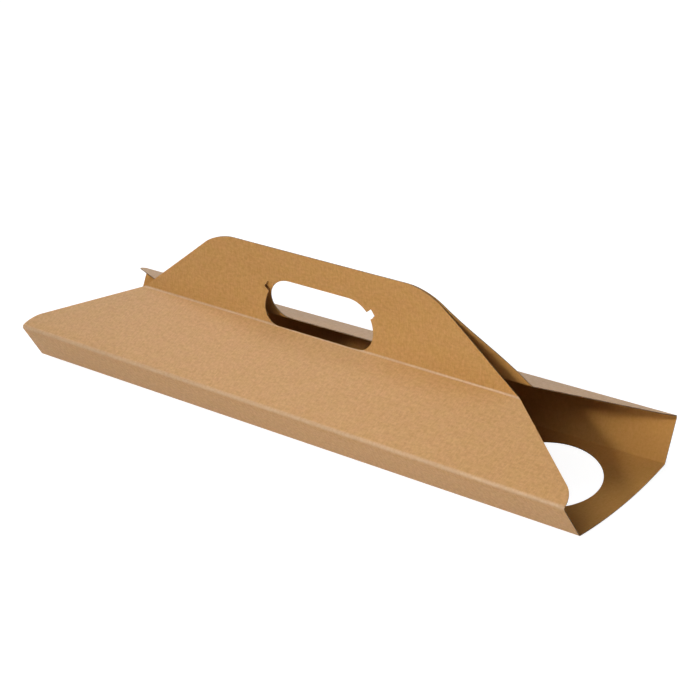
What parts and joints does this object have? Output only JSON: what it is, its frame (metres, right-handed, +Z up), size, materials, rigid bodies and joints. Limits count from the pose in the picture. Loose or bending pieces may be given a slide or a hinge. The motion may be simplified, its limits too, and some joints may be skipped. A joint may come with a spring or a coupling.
{
  "type": "cup carrier tray",
  "caption": "Folded kraft board carrier for hot drink cups, with a row of round cup holes under two sloping sides and a double handle panel with a hand hole.",
  "frame": {"origin": "middle of the underside of the bottom, on the table", "axes": "+X along the carrier and its handle, +Y across it, +Z up"},
  "size_m": [0.47, 0.1326, 0.114],
  "materials": {
    "kraft_board": "matt uncoated brown kraft board with fine fibres"
  },
  "bodies": {
    "root": {"carrier": "kraft_board"}
  },
  "joints": []
}
